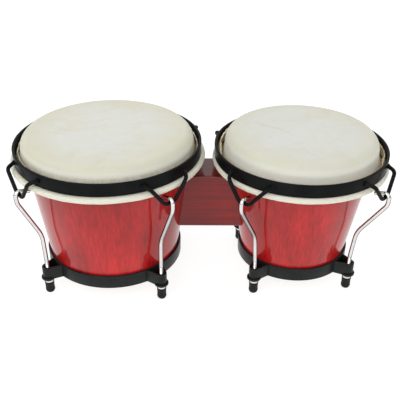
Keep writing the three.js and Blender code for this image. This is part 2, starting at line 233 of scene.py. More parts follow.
def make_world():
    """A pale studio: bright overhead and behind, dimmer round the horizon on the camera's side."""
    world = bpy.data.worlds.new("studio")
    world.use_nodes = True
    nodes, links = world.node_tree.nodes, world.node_tree.links
    place = nodes.new("ShaderNodeTexCoord").outputs["Generated"]
    split = nodes.new("ShaderNodeSeparateXYZ")
    links.new(place, split.inputs["Vector"])
    tilt = nodes.new("ShaderNodeMath")
    tilt.operation = "MULTIPLY_ADD"
    tilt.inputs[1].default_value = WORLD_TILT
    links.new(split.outputs["Y"], tilt.inputs[0])
    links.new(split.outputs["Z"], tilt.inputs[2])
    ramp = nodes.new("ShaderNodeValToRGB")
    for element, (position, grey) in zip(ramp.color_ramp.elements, WORLD_GREYS):
        element.position = position
        element.color = (grey, grey, grey, 1)
    links.new(tilt.outputs["Value"], ramp.inputs["Fac"])
    background = nodes["Background"]
    links.new(ramp.outputs["Color"], background.inputs["Color"])
    background.inputs["Strength"].default_value = 1.0
    bpy.context.scene.world = world


def make_floor():
    bm = bmesh.new()
    bmesh.ops.create_grid(bm, x_segments=8, y_segments=8, size=FLOOR_HALF_SIZE)
    floor = new_piece("floor", bm)
    floor.data.materials.append(floor_material())


# ---- Node materials ----


class Shader:
    """Builds one material's node tree round a Principled BSDF, in object space and metres."""

    def __init__(self, name, **constants):
        self.material = bpy.data.materials.new(name)
        self.material.use_nodes = True
        self.nodes = self.material.node_tree.nodes
        self.links = self.material.node_tree.links
        self.principled = self.nodes["Principled BSDF"]
        for socket, value in constants.items():
            self.principled.inputs[socket.replace("_", " ")].default_value = value
        self.place = self.nodes.new("ShaderNodeTexCoord").outputs["Object"]

    def link(self, output, socket):
        self.links.new(output, self.principled.inputs[socket])

    def fill(self, socket, value):
        """Links the socket to another node's output, or sets it to a number or a colour."""
        if hasattr(value, "is_linked"):
            self.links.new(value, socket)
        else:
            socket.default_value = (*value, 1) if hasattr(value, "__len__") else value

    def pattern(self, kind, place=None, **values):
        """A new node with these input values, fed from place or else from the object's own space."""
        node = self.nodes.new(kind)
        for socket, value in values.items():
            node.inputs[socket].default_value = value
        self.links.new(place or self.place, node.inputs["Vector"])
        return node

    def from_axis(self, x, depth=1):
        """Distance from the upright axis at x, with what lies front to back counted depth times."""
        mapping = self.pattern("ShaderNodeMapping", Scale=(1, depth, 0), Location=(-x, 0, 0))
        length = self.nodes.new("ShaderNodeVectorMath")
        length.operation = "LENGTH"
        self.links.new(mapping.outputs["Vector"], length.inputs[0])
        return length.outputs["Value"]

    def height(self):
        return self.pattern("ShaderNodeSeparateXYZ").outputs["Z"]

    def sidelong(self):
        """0 where the surface is seen straight on, rising to 1 at its outline."""
        return self.nodes.new("ShaderNodeLayerWeight").outputs["Facing"]

    def stretched(self, scale, turn=(0, 0, 0)):
        return self.pattern("ShaderNodeMapping", Scale=scale, Rotation=turn).outputs["Vector"]

    def noise(self, scale, detail=4, roughness=0.55, place=None, distortion=0):
        values = {"Scale": scale, "Detail": detail, "Roughness": roughness, "Distortion": distortion}
        return self.pattern("ShaderNodeTexNoise", place, **values).outputs["Fac"]

    def cells(self, scale):
        return self.pattern("ShaderNodeTexVoronoi", Scale=scale).outputs["Distance"]

    def grain(self, axis, across, along, detail, roughness, distortion=0):
        """Noise drawn out along an axis (0 for X, 2 for Z), at these rates across and along it."""
        scale = [across] * 3
        scale[axis] = along
        return self.noise(1, detail, roughness, self.stretched(scale), distortion)

    def ramp(self, value, *stops):
        """Maps the value through stops of (position, colour), where a colour may be one grey."""
        node = self.nodes.new("ShaderNodeValToRGB")
        elements = node.color_ramp.elements
        while len(elements) < len(stops):
            elements.new(0.5)
        for element, (position, colour) in zip(elements, stops):
            element.position = position
            element.color = (*colour, 1) if hasattr(colour, "__len__") else (colour,) * 3 + (1,)
        self.links.new(value, node.inputs["Fac"])
        return node.outputs["Color"]

    def mix(self, factor, first, second, blend="MIX"):
        node = self.nodes.new("ShaderNodeMix")
        node.data_type = "RGBA"
        node.blend_type = blend
        ends = {"Factor_Float": factor, "A_Color": first, "B_Color": second}
        for socket in node.inputs:
            if socket.identifier in ends:
                self.fill(socket, ends[socket.identifier])
        return next(o for o in node.outputs if o.identifier == "Result_Color")

    def math(self, operation, first, second):
        node = self.nodes.new("ShaderNodeMath")
        node.operation = operation
        self.fill(node.inputs[0], first)
        self.fill(node.inputs[1], second)
        return node.outputs["Value"]

    def swayed(self, value, sway, amount):
        """The value, moved up or down by at most half of amount, as the noise sway says."""
        swing = self.math("MULTIPLY", self.math("SUBTRACT", sway, 0.5), amount)
        return self.math("ADD", value, swing)

    def bump(self, height, distance, strength=1.0, socket="Normal"):
        node = self.nodes.new("ShaderNodeBump")
        node.inputs["Strength"].default_value = strength
        node.inputs["Distance"].default_value = distance
        self.links.new(height, node.inputs["Height"])
        self.link(node.outputs["Normal"], socket)


def floor_material():
    shader = Shader("floor", Roughness=0.7, Emission_Color=(1, 1, 1, 1), Emission_Strength=0.84)
    shader.link(shader.ramp(shader.noise(3), (0.3, 0.24), (0.7, 0.26)), "Base Color")
    return shader.material


def lacquered_wood(name, dark, light, deep, grain_axis, painted_shade_heights=None):
    """Stained wood under clear gloss lacquer, with its grain along grain_axis (0 for X, 2 for Z).
    The last argument gives painted shade: a height where it starts to darken the stain towards the top,
    and one where it is darkest."""
    shader = Shader(name, Coat_Weight=0.86, Coat_Roughness=0.015, Coat_IOR=1.42, IOR=1.45,
                    Specular_IOR_Level=0.12)
    fibres = shader.grain(grain_axis, across=420, along=9, detail=6, roughness=0.65)
    bands = shader.grain(grain_axis, 34, 3, detail=3, roughness=0.5, distortion=0.6)
    blotches = shader.noise(14, 3)
    fibre_tone = shader.ramp(fibres, (0.34, 0.0), (0.7, 1.0))
    band_tone = shader.ramp(bands, (0.3, 0.0), (0.7, 1.0))
    stain = shader.ramp(shader.mix(0.45, fibre_tone, band_tone), (0.1, dark), (0.85, light))
    pores = shader.grain(grain_axis, 900, 45, detail=2, roughness=0.5)
    pores = shader.ramp(pores, (0.64, 0.0), (0.7, 1.0))
    stain = shader.mix(shader.math("MULTIPLY", pores, 0.4), stain, deep)
    stain = shader.mix(shader.ramp(blotches, (0.34, 0.42), (0.62, 0.0)), stain, deep)
    # Painted shade: the stain darkens towards the top, standing in for the shade that falls there under
    # the rims.
    if painted_shade_heights:
        start, shade_darkest = painted_shade_heights
        height = shader.swayed(shader.height(), blotches, 20 * MM)
        stain = shader.mix(shader.ramp(height, (start, 0.0), (shade_darkest, 0.55)), stain, deep)
    shader.link(stain, "Base Color")
    shader.link(shader.ramp(fibres, (0.3, 0.38), (0.7, 0.52)), "Roughness")
    shader.bump(fibres, 0.05 * MM, 0.5)
    shader.bump(shader.noise(70, 2), 0.05 * MM, 0.2, "Coat Normal")
    return shader.material


def raw_wood(name, dark, light, grain_axis):
    shader = Shader(name, Specular_IOR_Level=0.25)
    fibres = shader.grain(grain_axis, across=380, along=8, detail=6, roughness=0.7)
    bands = shader.grain(grain_axis, 40, 3, detail=3, roughness=0.5, distortion=0.8)
    fibre_tone = shader.ramp(fibres, (0.3, 0.0), (0.7, 1.0))
    band_tone = shader.ramp(bands, (0.3, 0.0), (0.7, 1.0))
    tone = shader.mix(0.5, fibre_tone, band_tone)
    shader.link(shader.ramp(tone, (0.15, dark), (0.85, light)), "Base Color")
    shader.link(shader.ramp(fibres, (0.3, 0.6), (0.7, 0.8)), "Roughness")
    shader.bump(fibres, 0.15 * MM, 0.6)
    return shader.material


def rawhide(drum):
    """Cream hide with cloudy patches: yellower at the drum's left and right, painted paler where it
    bends down over the shell as painted light on its shade, and brown in places where it is trimmed."""
    shader = Shader(f"{drum.name}_rawhide", Specular_IOR_Level=0.35, Sheen_Weight=0.05,
                    Sheen_Roughness=0.4, Subsurface_Weight=0.5, Subsurface_Scale=10 * MM,
                    Subsurface_Radius=(1.0, 0.85, 0.6))
    cream = (0.69, 0.69, 0.59)
    pale = (0.71, 0.715, 0.63)
    yellow = (0.65, 0.60, 0.40)
    rose = (0.60, 0.52, 0.43)
    painted_crown_light = (0.92, 0.87, 0.70)
    brown = (0.40, 0.29, 0.11)
    specks = (0.46, 0.4, 0.26)
    clouds = shader.noise(9, 5, 0.6, distortion=0.8)
    patches = shader.noise(21, 4, 0.6, distortion=1.2)
    body = shader.mix(shader.ramp(clouds, (0.35, 0.0), (0.62, 1.0)), cream, pale)
    body = shader.mix(shader.ramp(patches, (0.48, 0.0), (0.74, 0.5)), body, yellow)
    blush = shader.noise(33, 3, 0.5, shader.stretched((1, 1.7, 1), (0, 0, 0.6)), 1.5)
    body = shader.mix(shader.ramp(blush, (0.58, 0.0), (0.76, 0.4)), body, rose)
    whole = 1.1 * drum.tail_radius
    reach = shader.math("DIVIDE", shader.from_axis(drum.x), whole)
    sideways = shader.math("DIVIDE", shader.from_axis(drum.x, 0.92), whole)
    edge = shader.swayed(sideways, clouds, 0.5)
    body = shader.mix(shader.ramp(edge, (0.5, 0.0), (0.86, 0.8)), body, yellow)
    # Painted light: the hide is made paler round its bend over the shell, lifting the shade that falls
    # on the crown.
    bend = shader.math("SUBTRACT", shader.from_axis(drum.x), drum.crown_start)
    bend = shader.math("DIVIDE", bend, 2 * CROWN_REACH)
    painted_crown_light_mask = shader.ramp(bend, (0.38, 0.0), (0.5, 0.85), (0.62, 1.0), (0.78, 0.45))
    body = shader.mix(painted_crown_light_mask, body, painted_crown_light)
    trimmed = shader.ramp(reach, (0.862, 0.0), (0.88, 1.0), (0.922, 1.0), (0.936, 0.0))
    stained = shader.ramp(shader.noise(170, 4, 0.6), (0.36, 0.15), (0.58, 0.9))
    body = shader.mix(shader.mix(1.0, trimmed, stained, "MULTIPLY"), body, brown)
    body = shader.mix(shader.ramp(shader.noise(900, 2), (0.5, 0.0), (0.85, 0.18)), body, specks)
    shader.link(body, "Base Color")
    shader.link(shader.ramp(patches, (0.3, 0.42), (0.8, 0.6)), "Roughness")
    pits = shader.math("ADD", shader.cells(1100), shader.math("MULTIPLY", shader.noise(160, 4), 1.5))
    shader.bump(pits, 0.12 * MM, 0.5)
    return shader.material


def black_coat(name, grey, roughness, specular):
    """Black powder coat: fine orange peel and faint dust."""
    shader = Shader(name, Specular_IOR_Level=specular, Coat_Weight=0.05, Coat_Roughness=0.2)
    dust = shader.noise(60, 5, 0.6)
    dull = (grey * 0.9, grey, grey * 1.08)
    dusty = (grey * 1.7, grey * 1.8, grey * 1.8)
    shader.link(shader.ramp(dust, (0.35, dull), (0.75, dusty)), "Base Color")
    shader.link(shader.ramp(dust, (0.3, roughness), (0.75, roughness + 0.13)), "Roughness")
    shader.bump(shader.noise(750, 3, 0.5), 0.06 * MM, 0.35)
    return shader.material


def plated(name, bright, dull, smooth, worn, peel):
    """A plated steel: cloudy handling marks in its polish, and a painted dark reflection along its
    outline.
    bright and dull are colours, smooth and worn are roughnesses, and peel is the depth of its ripples."""
    # Painted reflection: the colour darkens towards the outline, where the metal turns away from view,
    # standing in for the dark surroundings it reflects there.
    outline = (0.05, 0.04, 0.04)
    shader = Shader(name, Metallic=1.0, Specular_Tint=(0.35, 0.33, 0.33, 1))
    marks = shader.noise(130, 5, 0.65)
    polish = shader.ramp(marks, (0.35, dull), (0.65, bright))
    painted_reflection_mask = shader.ramp(shader.sidelong(), (0.32, 0.0), (0.62, 0.85))
    shader.link(shader.mix(painted_reflection_mask, polish, outline), "Base Color")
    scratches = shader.noise(1, 3, 0.6, shader.stretched((2600, 2600, 180)))
    clouded = shader.ramp(marks, (0.35, worn), (0.65, smooth))
    scratched = shader.ramp(scratches, (0.3, smooth), (0.75, worn))
    shader.link(shader.mix(0.5, clouded, scratched), "Roughness")
    shader.bump(shader.noise(500, 3), peel, 0.4)
    return shader.material


def rubber():
    shader = Shader("rubber", Specular_IOR_Level=0.2)
    bloom = shader.noise(220, 4, 0.6)
    shader.link(shader.ramp(bloom, (0.35, 0.004), (0.75, (0.011, 0.011, 0.0105))), "Base Color")
    shader.link(shader.ramp(bloom, (0.3, 0.5), (0.8, 0.72)), "Roughness")
    shader.bump(shader.noise(1400, 2), 0.08 * MM, 0.5)
    return shader.material


# ---- Mesh helpers ----

ON_AXIS = 1e-6  # a smaller radius than this is a pole
LARGEST_CORNER = 0.45  # of the shorter side next to it


def new_piece(name, bm, sharp=32):
    """A smooth-shaded object from a bmesh, with edges over sharp degrees kept crisp."""
    bmesh.ops.recalc_face_normals(bm, faces=bm.faces)
    mesh = bpy.data.meshes.new(name)
    bm.to_mesh(mesh)
    bm.free()
    mesh.polygons.foreach_set("use_smooth", [True] * len(mesh.polygons))
    mesh.set_sharp_from_angle(angle=math.radians(sharp))
    piece = bpy.data.objects.new(name, mesh)
    bpy.context.scene.collection.objects.link(piece)
    return piece


def skin_rows(bm, rows, loop=False):
    """Quads between neighbouring closed rows of points. A row of one point is a pole.
    loop joins the last row to the first."""
    made = [[bm.verts.new(point) for point in row] for row in rows]
    pairs = list(zip(made, made[1:]))
    if loop:
        pairs.append((made[-1], made[0]))
    for first, second in pairs:
        count = max(len(first), len(second))
        for i in range(count):
            j = (i + 1) % count
            if len(first) == 1:
                bm.faces.new((first[0], second[i], second[j]))
            elif len(second) == 1:
                bm.faces.new((first[i], first[j], second[0]))
            else:
                bm.faces.new((first[i], first[j], second[j], second[i]))
    return made


def revolve(bm, profile, segments, shape=None):
    """Turns a profile about Z. Its points start with (radius, height), and shape(*point, angle) may
    move each one. A profile that starts off the axis closes on itself."""
    angles = [TURN * i / segments for i in range(segments)]
    shape = shape or (lambda radius, height, angle: (radius, height))
    rows = []
    for point in profile:
        if point[0] < ON_AXIS:
            rows.append([Vector((0, 0, point[1]))])
            continue
        row = []
        for angle in angles:
            r, z = shape(*point, angle)
            row.append(Vector((r * math.cos(angle), r * math.sin(angle), z)))
        rows.append(row)
    skin_rows(bm, rows, loop=profile[0][0] > ON_AXIS)


def rounded(points, radius, steps=4, closed=True):
    """The line with its corners rounded, from each corner by up to radius."""
    points = [Vector(point) for point in points]
    out = []
    for i, corner in enumerate(points):
        if not closed and i in (0, len(points) - 1):
            out.append(corner)
            continue
        before = points[i - 1] - corner
        after = points[(i + 1) % len(points)] - corner
        reach = min(radius, before.length * LARGEST_CORNER, after.length * LARGEST_CORNER)
        enter = corner + before.normalized() * reach
        leave = corner + after.normalized() * reach
        for k in range(steps + 1):
            t = k / steps
            out.append(enter * (1 - t) ** 2 + corner * 2 * t * (1 - t) + leave * t * t)
    return out


def arc(centre, radius, start, end, steps):
    """Points on an arc in (radius, height), angles in degrees."""
    turns = [math.radians(start + (end - start) * i / steps) for i in range(steps + 1)]
    return [(centre[0] + radius * math.cos(a), centre[1] + radius * math.sin(a)) for a in turns]


def resampled(points, step):
    """The same line with extra points, so that no stretch is longer than step."""
    out = [points[0]]
    for before, after in zip(points, points[1:]):
        count = max(1, math.ceil((after - before).length / step))
        out += [before.lerp(after, (k + 1) / count) for k in range(count)]
    return out


def circle(radius, sides):
    angles = [TURN * i / sides for i in range(sides)]
    return [Vector((radius * math.cos(angle), radius * math.sin(angle))) for angle in angles]


def rectangle(half_width, half_height, rounding, steps):
    corners = [(-half_width, -half_height), (half_width, -half_height)]
    corners += [(half_width, half_height), (-half_width, half_height)]
    return rounded(corners, rounding, steps)


def band_section(inside, outside, bottom, top, rounding, steps):
    """A flat band's section as (radius, height), with rounded corners."""
    corners = [(inside, bottom), (outside, bottom), (outside, top), (inside, top)]
    return [tuple(point) for point in rounded(corners, rounding, steps)]


def sweep(bm, path, section, closed=False):
    """Carries a section along a level path. Its second axis stays upright, and open ends are capped
    flat."""
    last = len(path) - 1
    rows = []
    for i, here in enumerate(path):
        before = path[i - 1] if i or closed else here
        after = path[(i + 1) % len(path)] if i < last or closed else here
        along = (after - before).normalized()
        side = Vector((0, 0, 1)).cross(along).normalized()
        rise = along.cross(side)
        rows.append([here + (side * p.x + rise * p.y) for p in section])
    if closed:
        skin_rows(bm, rows, loop=True)
        return
    caps = []
    for end in (0, last):
        middle = path[end]
        cap = [[middle + (p - middle) * share for p in rows[end]] for share in (0.85, 0.5)]
        caps.append([*cap, [middle]])
    skin_rows(bm, caps[0][::-1] + rows + caps[1])


def transported(bm, path, radius, sides, scale=None, ends=0.5):
    """A round wire along any path, with its section carried without twist. scale(place, angle) may
    change its radius, and its ends are domed by ends times the radius."""
    last = len(path) - 1
    along = (path[1] - path[0]).normalized()
    side = along.orthogonal().normalized()
    rows = []
    for i, here in enumerate(path):
        ahead = (path[min(i + 1, last)] - path[max(i - 1, 0)]).normalized()
        side = (side - ahead * side.dot(ahead)).normalized()
        rise = ahead.cross(side)
        row = []
        for k in range(sides):
            angle = TURN * k / sides
            reach = radius * (scale(here, angle) if scale else 1)
            row.append(here + (side * math.cos(angle) + rise * math.sin(angle)) * reach)
        rows.append(row)
    domes = []
    for end, inner in ((0, 1), (-1, -2)):
        middle = path[end]
        out = (middle - path[inner]).normalized() * radius * ends
        shoulder = [middle + (p - middle) * 0.8 + out * 0.7 for p in rows[end]]
        domes.append([shoulder, [middle + out]])
    skin_rows(bm, domes[0][::-1] + rows + domes[1])


def blob(bm, place, size, seed):
    """A small lumpy bead, as weld metal leaves it."""
    made = bmesh.ops.create_uvsphere(bm, u_segments=16, v_segments=10, radius=1)["verts"]
    for vertex in made:
        lump = 1 + 0.25 * noise.noise(vertex.co * 2.3 + Vector((seed, 0, 0)))
        vertex.co = Vector(place) + Vector([c * s * lump for c, s in zip(vertex.co, size)])


def at_bearing(angle):
    """Turns what lies along +X to a bearing."""
    return Matrix.Rotation(angle, 4, "Z")


def move_out(piece, drum, turned=Matrix()):
    """Turns the piece about its drum's axis, and moves it out to the drum."""
    piece.data.transform(Matrix.Translation((drum.x, 0, 0)) @ turned)


def apply_modifiers(piece):
    bpy.context.view_layer.update()
    made = piece.evaluated_get(bpy.context.evaluated_depsgraph_get())
    mesh = bpy.data.meshes.new_from_object(made)
    piece.modifiers.clear()
    piece.data = mesh


def thicken(piece, thickness):
    modifier = piece.modifiers.new("thickness", "SOLIDIFY")
    modifier.thickness = thickness
    modifier.offset = 0
    modifier.use_even_offset = False
    apply_modifiers(piece)


def cut_with(piece, tools):
    """Takes the tools' solids out of the piece, and removes them."""
    for tool in tools:
        modifier = piece.modifiers.new("cut", "BOOLEAN")
        modifier.operation = "DIFFERENCE"
        modifier.solver = "EXACT"
        modifier.object = tool
    apply_modifiers(piece)
    for tool in tools:
        bpy.data.objects.remove(tool)


def settle(piece, nodes, slot, *materials):
    """Gives the piece its materials, and hides the CAD nodes that it stands for. slot is not used."""
    for material in materials:
        piece.data.materials.append(material)
    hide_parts(*nodes)


def hexagon_reach(across_flats, angle):
    return across_flats / 2 / math.cos((angle % (TURN / 6)) - TURN / 12)


# ---- Shell ----

SHELL_LIP_DROP = 3 * MM  # how far below the wood's crest its bored inside starts


def make_shell(drum, wood, inside_wood):
    edge = drum.bearing_edge
    foot = [drum.shell_bottom + 1.2 * MM, drum.ring_top - 2 * MM, drum.ring_top + 2 * MM]
    steps = 24
    rise = [drum.ring_top + (edge - drum.ring_top) * (i + 1) / steps for i in range(steps)]
    outside = [(drum.shell_radius(z), z) for z in foot + rise]
    inside = [(drum.shell_radius(z) - WALL, z) for z in rise[-2::-1] + foot[::-1]]
    rounded_top = drum.crown(SKIN + GAP, start=8, end=72, steps=10)
    inner_top = drum.shell_radius(edge) - WALL
    lip = [(inner_top, rounded_top[-1][1] - SHELL_LIP_DROP), (inner_top, edge)]
    bottom = drum.shell_bottom
    sole = [(drum.shell_foot - WALL + MM, bottom), (drum.shell_foot - MM, bottom)]
    bm = bmesh.new()
    revolve(bm, outside + rounded_top + lip + inside + sole, SHELL_SEGMENTS)
    lacquered_rows = len(outside) + len(rounded_top)
    for i, face in enumerate(bm.faces):
        face.material_index = 0 if i // SHELL_SEGMENTS < lacquered_rows else 1
    shell = new_piece(f"{drum.name}_shell_wood", bm)
    cut_with(shell, [bolt_hole(drum, z) for z in bolt_heights(drum)])
    move_out(shell, drum)
    settle(shell, [f"{drum.name}_shell"], "shell_wood", wood, inside_wood)
    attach(shell, "root")


def bolt_heights(drum):
    boxes = [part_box(f"{drum.name}_block_bolt_{place}") for place in ("lower", "upper")]
    return [(low.z + high.z) / 2 for low, high in boxes]


def bolt_hole(drum, height, start=0, reach=120 * MM):
    """A cylinder along X towards the other drum, in the drum's own space, for cutting."""
    section = circle(BOLT / 2 + GAP, 32)
    bm = bmesh.new()
    rows = [[Vector((-drum.side * x, p.x, height + p.y)) for p in section] for x in (start, reach)]
    for row in skin_rows(bm, rows):
        bm.faces.new(row)
    return new_piece("bolt_hole", bm)


# ---- Head: one hide per drum, over the shell's edge, round the flesh hoop and up inside the rim ----

HIDE_THICKNESS = SKIN * 0.94  # a little under the skin's, so that it clears what it is drawn over
TAIL_HEIGHT = 8 * MM
TAIL_START = 1.5 * MM  # above the rim's lower edge
TAIL_CLEAR_OF_HEAD = 1.2 * MM
TAIL_BELOW_TOP = 2.5 * MM
FLAPS = {  # ragged places of the trimmed hide: bearing, half-width in degrees, extra height, lean in mm
    "large": [(20, 16, 2.5, 1.6), (200, 22, 2.0, 1.4), (250, 12, 1.0, 0.8), (330, 14, 1.5, 1.0)],
    "small": [
        (147, 9, 6.8, 3.6),
        (165, 8, 6.2, 3.4),
        (181, 9, 4.0, 2.6),
        (12, 9, 3.5, 2.0),
        (340, 9, 2.5, 1.8),
    ],
}
HIDE_SEEDS = {"large": 3.7, "small": 9.1}


def around_noise(angle, rate, seed):
    return noise.noise(Vector((math.cos(angle) * rate, math.sin(angle) * rate, seed)))


def hide_profile(drum):
    """The hide's line from the head's middle outwards, as (radius, height, kind). In the tail, where
    the hide stands up inside the rim, the height is a share of the tail's height."""
    edge = drum.bearing_edge
    hoop = (drum.hoop_radius, drum.hoop_height)
    flat = [(drum.crown_start * (i / 26), drum.head_top - SKIN / 2, "flat") for i in range(26)]
    turn = [(r, z, "crown") for r, z in drum.crown(SKIN / 2, start=90, end=0, steps=16)]
    start = drum.head_radius - SKIN / 2
    drop = edge - hoop[1]
    spread = hoop[0] - drum.head_radius
    side_points = [
        (start, edge - 0.05 * drop),
        (start + 0.1 * spread, hoop[1] + 0.55 * drop),
        (start + 0.25 * spread, hoop[1] + 0.2 * drop),
    ]
    side_line = resampled(rounded(side_points, 4 * MM, 4, closed=False), 1.5 * MM)
    side = [(p.x, p.y, "side") for p in side_line]
    lap = [(r, z, "lap") for r, z in arc(hoop, LAP, 205, 452, 26)]
    rise = [
        (drum.tail_radius + 1.1 * MM, hoop[1] + LAP, "lap"),
        (drum.tail_radius + 0.1 * MM, hoop[1] + LAP + 0.75 * MM, "lap"),
    ]
    tail_steps = 9
    tail = [(drum.tail_radius, i / tail_steps, "tail") for i in range(tail_steps + 1)]
    return flat + turn + side + lap + rise + tail


def head_wave(drum, radius, height, angle):
    """The slight unevenness of the stretched hide, dying out at the crown."""
    x, y = radius * math.cos(angle), radius * math.sin(angle)
    wave = noise.noise(Vector((x * 22, y * 22, HIDE_SEEDS[drum.name])))
    return radius, height + 0.25 * MM * wave * (1 - (radius / drum.crown_start) ** 6)


def lap_puckers(drum, radius, height, angle):
    """Small gathers where the hide goes round the flesh hoop, and its sag below it."""
    seed = HIDE_SEEDS[drum.name]
    puckers = around_noise(angle, 34, seed) * 0.16 + around_noise(angle, 7, seed) * 0.22
    outwards = (radius - drum.hoop_radius) / LAP
    below = max(0, drum.hoop_height - height) / LAP
    return radius + outwards * puckers * MM, height - below * (puckers + 0.15) * MM


def tail_point(drum, share, angle):
    """A point of the cut edge that stands up inside the rim, this share of the way up."""
    seed = HIDE_SEEDS[drum.name]
    height = TAIL_HEIGHT + 2.2 * MM * around_noise(angle, 5, seed)
    height += 1.7 * MM * around_noise(angle, 17, seed)
    lean = 0.5 * MM + 0.5 * MM * around_noise(angle, 9, seed + 5)
    crumple = 0.25
    for bearing, half, extra, lean_in in FLAPS[drum.name]:
        off = (math.degrees(angle) - bearing + 180) % 360 - 180
        weight = math.exp(-((off / half) ** 2) * 1.4)
        height += extra * MM * weight
        lean += lean_in * MM * weight
        crumple += 1.6 * weight
    ripple = around_noise(angle, 26, seed + 2 + share * 0.8) * crumple * MM
    radius = drum.tail_radius - max(lean * share**1.5 + abs(ripple) * share * 1.4, 0)
    z = drum.rim_bottom + TAIL_START + height * share + ripple * 0.6 * share
    return max(radius, drum.head_radius + TAIL_CLEAR_OF_HEAD), min(z, drum.head_top - TAIL_BELOW_TOP)


def make_head(drum, hide):
    def shape(radius, height, kind, angle):
        if kind == "flat":
            return head_wave(drum, radius, height, angle)
        if kind == "lap":
            return lap_puckers(drum, radius, height, angle)
        if kind == "tail":
            return tail_point(drum, height, angle)
        return radius, height

    bm = bmesh.new()
    revolve(bm, hide_profile(drum), HEAD_SEGMENTS, shape)
    head = new_piece(f"{drum.name}_rawhide_head", bm, 60)
    thicken(head, HIDE_THICKNESS)
    move_out(head, drum)
    settle(head, [f"{drum.name}_head_skin", f"{drum.name}_skin_collar"], "rawhide", hide)
    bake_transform(head)


def make_flesh_hoop(drum, steel):
    bm = bmesh.new()
    ring = [Vector((p.x, p.y, drum.hoop_height)) for p in circle(drum.hoop_radius, 144)]
    sweep(bm, ring, circle(HOOP_WIRE / 2, 16), closed=True)
    blob(bm, (drum.hoop_radius, 0, drum.hoop_height), (2.2 * MM, 1.6 * MM, 2.2 * MM), 4)
    hoop = new_piece(f"{drum.name}_flesh_hoop_wire", bm)
    move_out(hoop, drum)
    settle(hoop, [f"{drum.name}_flesh_hoop"], "plain_steel", steel)
    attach(hoop, drum.rim_body)


# ---- Rim, bails and rods ----


def make_rim(drum, coat):
    inside = drum.rim_radius - RIM_THICKNESS
    section = band_section(inside, drum.rim_radius, drum.rim_bottom, drum.rim_top, 0.9 * MM, 4)
    bm = bmesh.new()
    revolve(bm, section, 216)
    seam = at_bearing(math.pi / 2) @ Vector((drum.rim_radius - 0.2 * MM, 0, 0))
    ends = (drum.rim_bottom + 1.5 * MM, drum.rim_top - 1.5 * MM)
    rise = resampled([seam + Vector((0, 0, z)) for z in ends], MM)
    transported(bm, rise, 0.7 * MM, 10, lambda p, a: 1 + 0.3 * noise.noise(p * 900))
    rim = new_piece(f"{drum.name}_rim_band", bm)
    move_out(rim, drum)
    settle(rim, [f"{drum.name}_rim"], "black_steel", coat)
    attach(rim, drum.rim_body)


def make_bail(drum, lug, coat):
    clear = drum.rim_radius + GAP * 0.3 + BAIL_WIRE / 2
    weld_x = math.sqrt(clear**2 - BAIL_HALF_WIDTH**2)
    weld_z = drum.rim_top - WELD_DROP
    half = [
        (weld_x - 1.5 * MM, BAIL_HALF_WIDTH + 0.3 * MM, weld_z + 0.4 * MM),
        (
            weld_x + BAIL_SHOULDER["out"],
            BAIL_HALF_WIDTH - BAIL_SHOULDER["in"],
            weld_z - BAIL_SHOULDER["down"],
        ),
        (drum.bar_radius, BAR_HALF_LENGTH, drum.bar_height),
    ]
    points = half + [(x, -y, z) for x, y, z in reversed(half)]
    path = resampled(rounded(points, 4.5 * MM, 7, closed=False), 2 * MM)
    bm = bmesh.new()
    transported(bm, path, BAIL_WIRE / 2, 18)
    for side in (1, -1):
        toe = Vector((weld_x - 1.9 * MM, side * (BAIL_HALF_WIDTH + 0.4 * MM), weld_z + 0.2 * MM))
        blob(bm, toe, (1.5 * MM, 3.6 * MM, 2.9 * MM), side + drum.side * 3)
    bail = new_piece(f"{drum.name}_wire_bail_{lug.position}", bm)
    move_out(bail, drum, at_bearing(lug.bearing))
    settle(bail, [f"{drum.name}_bail_{lug.position}"], "black_steel", coat)
    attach(bail, drum.rim_body)


def rod_path(drum, lug):
    """The rod's line in its own plane, from the hook's tip to its lower end."""
    bar = Vector((drum.bar_radius, 0, drum.bar_height))
    hook = (BAIL_WIRE + ROD) / 2 + GAP * 0.5
    half_turn = HOOK_TURN / 4
    corner_reach = hook / math.cos(half_turn)
    turns = (3 * half_turn, half_turn)
    corners = [bar + Vector((math.cos(a), 0, math.sin(a))) * corner_reach for a in turns]
    droop = HOOK_TURN - math.pi / 2
    tip = corners[0] - Vector((math.cos(droop), 0, math.sin(droop))) * HOOK_TAIL
    points = [
        tip,
        *corners,
        bar + Vector((hook, 0, -ROD_LEAN_DROP)),
        Vector((lug.radius + drum.elbow_reach, 0, ELBOW_HEIGHT)),
        Vector((lug.radius, 0, ROD_UPRIGHT_BELOW)),
        Vector((lug.radius, 0, ROD_END)),
    ]
    return rounded(points, 9 * MM, 8, closed=False)


def make_rod(drum, lug, chrome):
    path = rod_path(drum, lug)
    plain = [p for p in path if p.z > THREAD_TOP]
    step = THREAD_PITCH / 8
    count = int((THREAD_TOP - ROD_END - ROD_DOME * ROD / 2) / step)
    threads = [Vector((lug.radius, 0, THREAD_TOP - i * step)) for i in range(count + 1)]

    def thread(here, angle):
        if here.z > THREAD_TOP:
            return 1
        phase = (here.z / THREAD_PITCH + angle / TURN) % 1
        groove = abs(2 * phase - 1)
        below_top = (THREAD_TOP - here.z) / (2 * THREAD_PITCH)
        above_end = (here.z - ROD_END) / THREAD_PITCH + 0.3
        return 1 - groove * min(1, below_top, above_end) * THREAD_DEPTH / (ROD / 2)

    bm = bmesh.new()
    transported(bm, resampled(plain, 2.5 * MM) + threads, ROD / 2, 20, thread, ROD_DOME)
    rod = new_piece(f"{drum.name}_chrome_rod_{lug.position}", bm)
    move_out(rod, drum, at_bearing(lug.bearing))
    settle(rod, [f"{drum.name}_tuning_rod_{lug.position}"], "chrome", chrome)
    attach(rod, drum.rim_body)


# ---- Washers, nuts and rubber caps ----


def over_rod(piece, drum, lug):
    move_out(piece, drum, at_bearing(lug.bearing) @ Matrix.Translation((lug.radius, 0, 0)))


